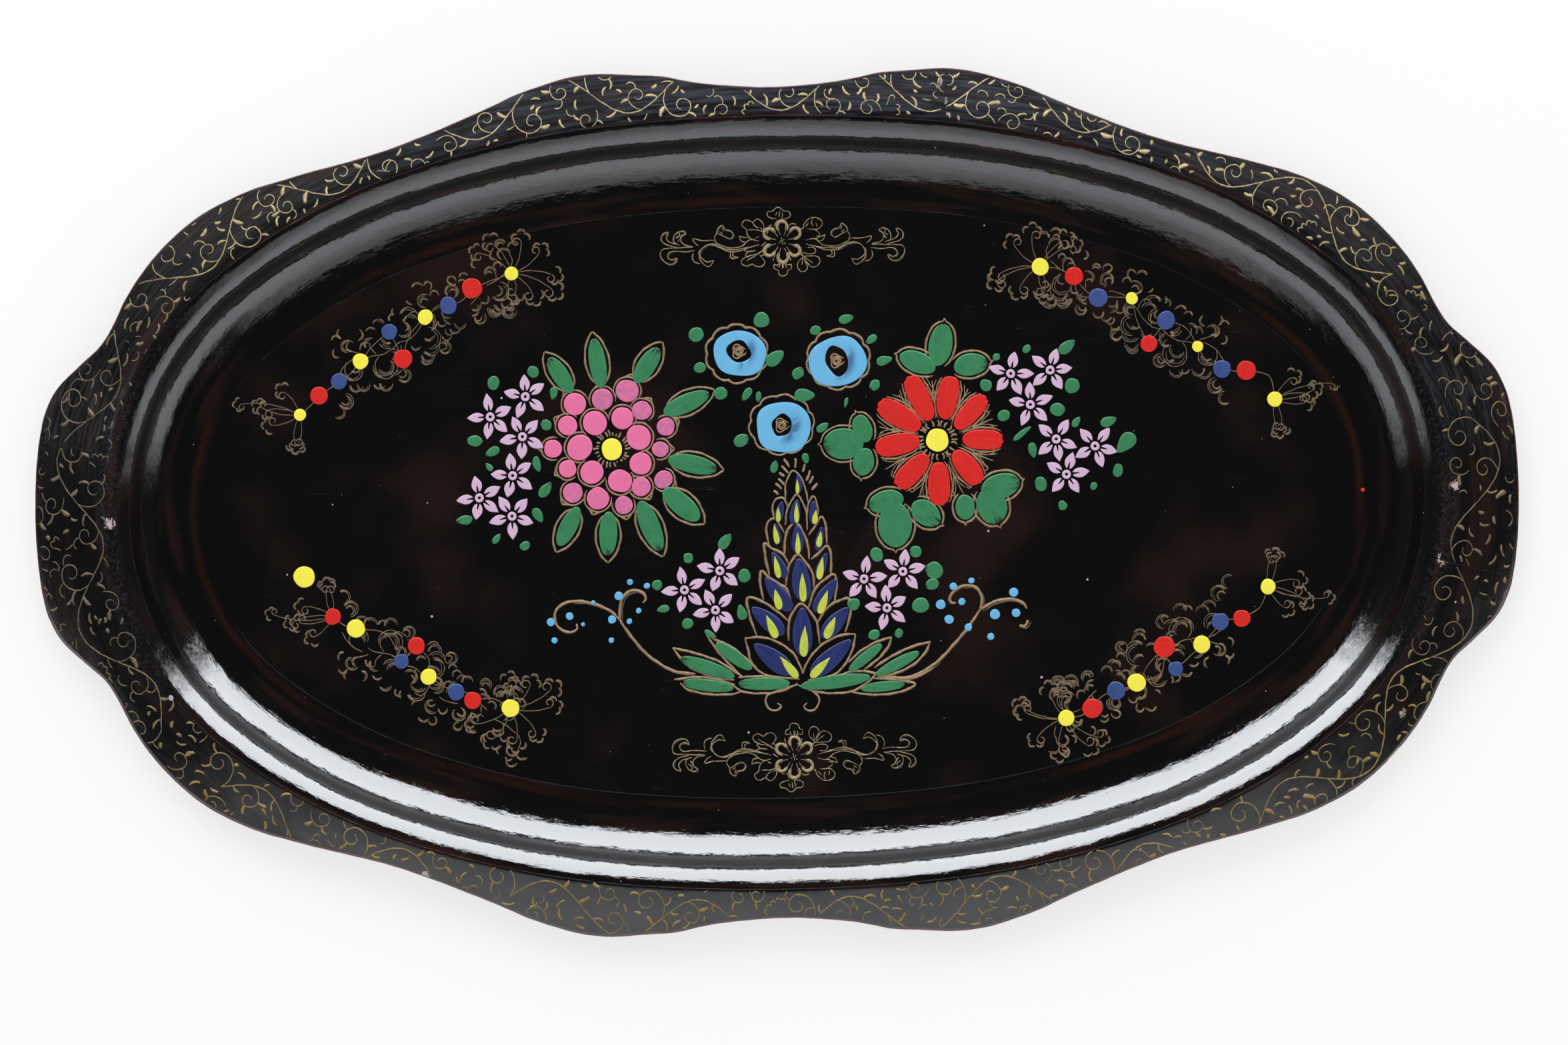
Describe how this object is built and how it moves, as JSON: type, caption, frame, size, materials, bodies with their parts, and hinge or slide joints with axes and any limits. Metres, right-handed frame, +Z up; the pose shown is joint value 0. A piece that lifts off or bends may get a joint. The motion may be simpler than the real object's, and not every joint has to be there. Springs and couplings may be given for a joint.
{
  "type": "painted serving tray",
  "caption": "Oval lacquered serving tray with a scalloped sloping rim, gold vine border and raised enamel flowers on a flat black floor.",
  "frame": {"origin": "centre of the flat underside the tray rests on", "axes": "+X along the tray's long axis, +Y across it, +Z up out of the well"},
  "size_m": [0.5804, 0.3374, 0.0209],
  "materials": {
    "pressed_board": "raw pressed paper board",
    "gold_ornament": "matt gold brushwork, part of the lining sheets",
    "brown_lacquer": "satin red-brown lacquer on paper",
    "black_lacquer": "polished black lacquer with fine gold ornament",
    "yellow_enamel": "glossy raised enamel paint",
    "red_enamel": "glossy raised enamel paint",
    "navy_enamel": "glossy raised enamel paint",
    "sky_blue_enamel": "glossy raised enamel paint",
    "pink_enamel": "glossy raised enamel paint",
    "green_enamel": "glossy raised enamel paint",
    "lilac_enamel": "satin raised enamel paint"
  },
  "bodies": {
    "root": {"floor_board": "pressed_board", "floor_backing": "brown_lacquer", "floor_lining": "black_lacquer", "cove_wall": "pressed_board", "cove_lining": "black_lacquer", "rim_flange": "pressed_board", "wall_backing": "brown_lacquer", "rim_strip_upper_left": "black_lacquer", "rim_strip_upper_right": "black_lacquer", "rim_strip_lower_left": "black_lacquer", "rim_strip_lower_right": "black_lacquer", "edge_binding": "brown_lacquer", "yellow_dots": "yellow_enamel", "red_dots": "red_enamel", "red_flower_petals": "red_enamel", "navy_dots": "navy_enamel", "lupine_petals": "navy_enamel", "lupine_highlights": "yellow_enamel", "blue_roses": "sky_blue_enamel", "blue_beads": "sky_blue_enamel", "pink_flower_beads": "pink_enamel", "green_leaves": "green_enamel", "lilac_flowers": "lilac_enamel"}
  },
  "joints": []
}
